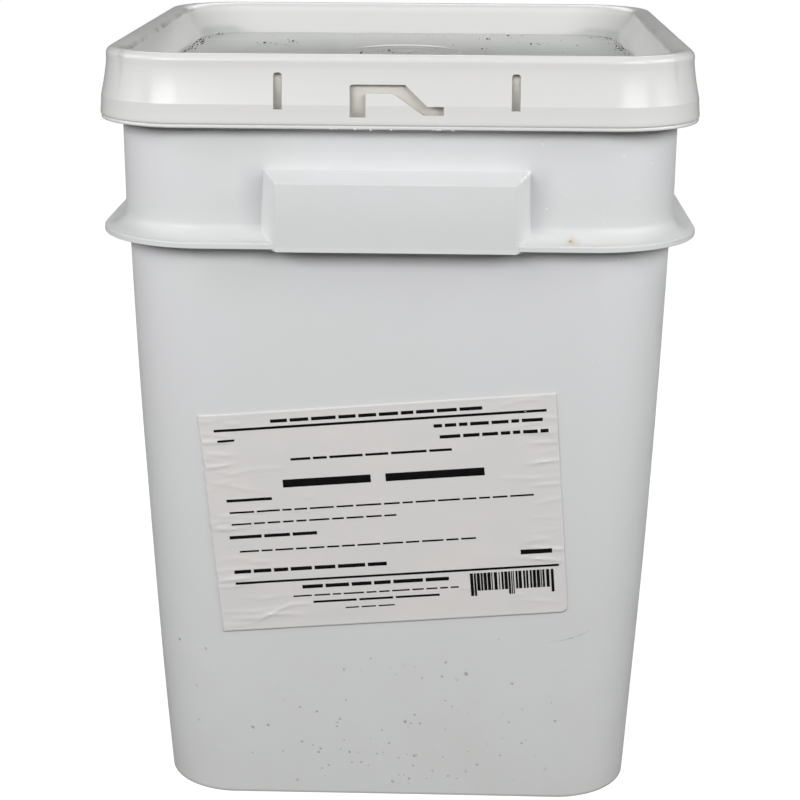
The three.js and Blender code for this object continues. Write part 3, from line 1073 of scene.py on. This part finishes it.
# %% Rules, long bars and dashes
RULES = ((-69.8, 71.8, 42.95, 44.1), (-68, 73.5, -28.4, -27.35))
LONG_BARS = ((-42.7, -4.8, 15.9, 19.5), (1.6, 44, 15.9, 19.5))
DASH_ROWS = (
    # from, to, middle height, thickness, shortest and longest dash
    (-45.3, 45.2, 46.4, 1.5, (4, 11)), (23.8, 70, 39.6, 1.5, (3, 9)), (26, 73.3, 34.5, 1.5, (3, 9)),
    (-68, -1.1, -22.4, 1.7, (6, 13)), (57.3, 70.9, -20.8, 2.2, (13, 14)),
    (-38.9, 25.4, -31.3, 1.7, (5, 13)), (-67.8, -48.1, 11.2, 1.3, (19, 20)),
    (-68.3, -24.5, -6, 1.5, (9, 16)),
    (-38.3, 34.7, 28.6, 1.1, (5, 17)), (-67.1, 64.4, 5.6, 0.8, (4, 11)), (-66.7, 6.4, 0.1, 0.8, (4, 10)),
    (-64.6, 43.1, -12.9, 0.8, (4, 10)), (-43.3, 32, -35.6, 0.7, (3, 9)),
    (-34.7, 22.2, -38.8, 1, (12, 24)), (-20.8, 0.8, -42.4, 0.6, (4, 9)), (-68.7, -61, 38.8, 0.9, (7, 7.5)),
)

ink_bm = bmesh.new()
chance = random.Random(11)
for patch in RULES + LONG_BARS:
    print_patch(ink_bm, *patch)
for row in DASH_ROWS:
    print_row(ink_bm, *row, chance)
print("ink cells:", len(ink_bm.faces))

# %% [markdown]
# The block of bars at the lower right is a made-up rhythm of thick and thin strokes, with longer strokes
# at both ends and in the middle. It codes nothing.

# %% Bar block
BAR_BLOCK = (34.6, 71.0)
BAR_TOP = -29.6
BAR_FEET = (-38.0, -40.4)
BAR_WIDTHS = (0.45, 0.9, 1.35)
GAP_WIDTHS = (0.35, 0.4, 0.7)
LONG_STROKES = ((34.6, 37), (51, 54), (69.5, 71))

u = BAR_BLOCK[0]
bars = 0
while u < BAR_BLOCK[1] - BAR_WIDTHS[0]:
    end = min(BAR_BLOCK[1], u + chance.choice(BAR_WIDTHS))
    is_long = any(start - NEAR <= u <= stop for start, stop in LONG_STROKES)
    print_patch(ink_bm, u, end, BAR_FEET[is_long], BAR_TOP)
    u = end + chance.choice(GAP_WIDTHS)
    bars += 1
print("bars:", bars)

# %% Ink
INK_BLACKS = ((0.002, 0.002, 0.0025), (0.009, 0.009, 0.0095))
INK_SHEEN = 0.08
INK_THICKNESS = 0.03

label_ink, shader, here = new_material("label_ink", 0.8)
patchy = noise_field(here, 350, detail=4)
feed(shader, {"Base Color": blend(patchy, *INK_BLACKS), "Specular IOR Level": INK_SHEEN})
print_piece = make_piece("label_print", ink_bm, label_ink, weighted=False)
thicken(print_piece, "ink film", INK_THICKNESS)

# %% [markdown]
# Frozen storage and rough handling leave marks. Every mark is a flattened ball of twenty faces, turned at
# random from a fixed seed, on the surface it has soiled. Single marks have their own places, and the
# others are scattered round them.

# %% Grain helper
FRONT = Vector((0, -1, 0))
UPWARDS = Vector((0, 0, 1))


def add_grain(bm, place, sizes, chance, flat, normal=UPWARDS):
    """A small rough ball, flattened along the normal. sizes is its least and its greatest radius."""
    made = bmesh.ops.create_icosphere(bm, subdivisions=1, radius=chance.uniform(*sizes))["verts"]
    for vert in made:
        vert.co *= chance.uniform(0.75, 1.2)
        vert.co.x *= 1.25
        vert.co.z *= flat
    spin = Matrix.Rotation(chance.uniform(0, tau), 3, "Z")
    tilt = normal.to_track_quat("Z", "Y").to_matrix()
    for vert in made:
        vert.co = place + tilt @ (spin @ vert.co)


def make_marks(names, bm, roughness, scale, detail, colours, ior=1.5, tones=(0.35, 0.65)):
    """Marks of two colours that mingle in a fine noise. names are the material's and the piece's."""
    material, shader, here = new_material(names[0], roughness, ior)
    tone = noise_field(here, scale, detail=detail)
    if tones:
        tone = ramp(tone, *tones)
    feed(shader, {"Base Color": blend(tone, *colours)})
    make_piece(names[1], bm, material, weighted=False)


# %% [markdown]
# Dark grains lie on the panel of the lid, thickest in the left and right corners of the recess, where
# wiping misses them.

# %% Dark grains on the panel
PANEL_GRAINS = (
    (-55.6, 45.6), (-19.8, -9.7), (-7.4, 0.7), (35.6, 13.0), (59.5, 41.9), (38.7, 64.9), (49.8, 89.5),
    (-68.7, 39.5),
)
NEAR_EACH_GRAIN = 4
LOOSE_GRAINS = 40
CORNER_GRAINS = ((-1, 95), (1, 63))
CORNER_LINE = 104.6
GRAIN_FLAT = 0.8
DARK_DIRT = ((0.018, 0.022, 0.016), (0.10, 0.10, 0.08))


def panel_point(x, y):
    """A point on top of the panel."""
    return Vector((x, y, panel_height(max(abs(x), abs(y)))))


chance = random.Random(3)
grain_bm = bmesh.new()
for x, y in PANEL_GRAINS:
    add_grain(grain_bm, panel_point(x, y), (0.45, 0.75), chance, GRAIN_FLAT)
    for _ in range(NEAR_EACH_GRAIN):
        near = panel_point(x + chance.gauss(0, 4), y + chance.gauss(0, 7))
        add_grain(grain_bm, near, (0.15, 0.33), chance, GRAIN_FLAT)
for _ in range(LOOSE_GRAINS):
    loose = panel_point(chance.uniform(-95, 95), chance.uniform(-90, 95))
    add_grain(grain_bm, loose, (0.12, 0.26), chance, GRAIN_FLAT)
for side, count in CORNER_GRAINS:
    for _ in range(count):
        y = chance.gauss(45, 26)
        inward = abs(chance.gauss(0, 2.6)) + max(0, abs(y) - RECESS_STRAIGHT) * 0.35
        place = panel_point(side * (CORNER_LINE - inward), y)
        add_grain(grain_bm, place, (0.16, 0.45), chance, GRAIN_FLAT)
make_marks(("panel_dirt", "panel_grains"), grain_bm, 0.6, 260, 2, DARK_DIRT)

# %% [markdown]
# The walls carry small grey scuffs near the floor, and one curved scratch at the lower right. A scuff is
# almost flat, so it reads as a stain. The scratch is a narrow strip that follows a bent line of three
# points.

# %% Scuffs and a scratch on the wall
WALL_MARKS = (
    (-96.6, 74.1), (-84.2, 72.4), (-89.3, 52.7), (-89.0, 35.4), (-64.2, 33.9), (-57.3, 35.0), (12.0, 60.3),
    (20.9, 61.0), (27.6, 59.6), (31.6, 62.7), (52.1, 58.1), (4.5, 37.9), (8.7, 20.4), (-0.8, 7.2),
)
LOOSE_SCUFFS = 90
SCUFF_FLAT = 0.1
SCUFF_GREYS = ((0.46, 0.47, 0.44), (0.72, 0.72, 0.70))
SCRATCH = (Vector((67.9, 78.7)), Vector((77.1, 80.4)), Vector((86.2, 84.5)))
SCRATCH_CELLS = 24
SCRATCH_WIDTH = 0.35
SCRATCH_LIFT = 0.05


def wall_point(x, z):
    """A point on the front wall of the body."""
    place = front_point(wall_level(z), x)
    return place + FRONT * wall_wave(place)


chance = random.Random(5)
scuff_bm = bmesh.new()
for x, z in WALL_MARKS:
    add_grain(scuff_bm, wall_point(x, z), (0.6, 1.0), chance, SCUFF_FLAT, FRONT)
for _ in range(LOOSE_SCUFFS):
    x, z = chance.gauss(5, 40), abs(chance.gauss(0, 38)) + 5
    if abs(x) < wall_level(z)[1]:
        add_grain(scuff_bm, wall_point(x, z), (0.25, 0.75), chance, SCUFF_FLAT, FRONT)
for vert in grid(scuff_bm, SCRATCH_CELLS, 1):
    t = vert.co.x + 0.5
    point = SCRATCH[0] * (1 - t) ** 2 + SCRATCH[1] * 2 * t * (1 - t) + SCRATCH[2] * t ** 2
    width = SCRATCH_WIDTH * (0.3 + sin(pi * t) * 0.7)
    vert.co = wall_point(point.x, point.y + vert.co.y * width) + FRONT * SCRATCH_LIFT
make_marks(("wall_scuff", "wall_scuffs"), scuff_bm, 0.5, 420, 3, SCUFF_GREYS)

# %% [markdown]
# Frost sits in single flakes on the right of the pail and on the edges of the front grip, and in beads of
# ice under the lip of the lid. Flakes lie flat against the plastic, and beads are nearly round.

# %% Frost and ice
BODY_FLAKES = ((79.4, 219.1), (91.3, 252.6), (102.0, 241.7))
NECK_FLAKES = ((91.5, 295.7), (103.7, 291.7), (97.9, 277.4), (53.5, 288.9), (58.6, 300.5))
GRIP_FROST = (
    (50.2, -124.8, 286.7), (50.9, -123.5, 287.1), (51.8, -121.7, 287.6), (53.0, -119.2, 288.4),
    (52.2, -122.6, 258.4), (53.3, -120.4, 259.0), (54.4, -118.8, 258.2),
)
LIP_BEADS = (-26, -24, -16.5, -14.8, -10.4, -2.2, 14.6, 16.4, 17.4, 22.5)
LIP_FRONT = 123.9
LARGE_FLAKE_FLAT = 0.35
SMALL_FLAKE = (0.2, 0.4)
SMALL_NECK_FLAKES = 9
SMALL_BODY_FLAKES = 5
SMALL_FLAKE_FLAT = 0.6
BEAD_FLAT = 0.9
ICE_IOR = 1.31
ICE_WHITES = ((0.93, 0.94, 0.94), (0.99, 0.99, 0.99))

chance = random.Random(9)
frost_bm = bmesh.new()


def add_flake(place, sizes, flat):
    """A flake on the front of the pail."""
    add_grain(frost_bm, place, sizes, chance, flat, FRONT)


for x, z in BODY_FLAKES:
    add_flake(front_point(wall_level(z), x), (0.4, 0.6), LARGE_FLAKE_FLAT)
for x, z in NECK_FLAKES:
    add_flake(front_point((*NECK, z), x), (0.5, 0.7), LARGE_FLAKE_FLAT)
for place in GRIP_FROST:
    add_flake(Vector(place), (0.45, 0.8), SMALL_FLAKE_FLAT)
for _ in range(SMALL_NECK_FLAKES):
    place = front_point((*NECK, chance.uniform(268, 305)), chance.uniform(56, 108))
    add_flake(place, SMALL_FLAKE, SMALL_FLAKE_FLAT)
for _ in range(SMALL_BODY_FLAKES):
    place = front_point(wall_level(chance.uniform(205, 250)), chance.uniform(70, 104))
    add_flake(place, SMALL_FLAKE, SMALL_FLAKE_FLAT)
for x in LIP_BEADS:
    drop = Vector((x, -LIP_FRONT, LIP[1] - chance.uniform(-0.2, 0.2)))
    add_grain(frost_bm, drop, (0.3, 0.55), chance, BEAD_FLAT)
make_marks(("frost", "frost_flakes"), frost_bm, 0.25, 600, 2, ICE_WHITES, ICE_IOR, None)
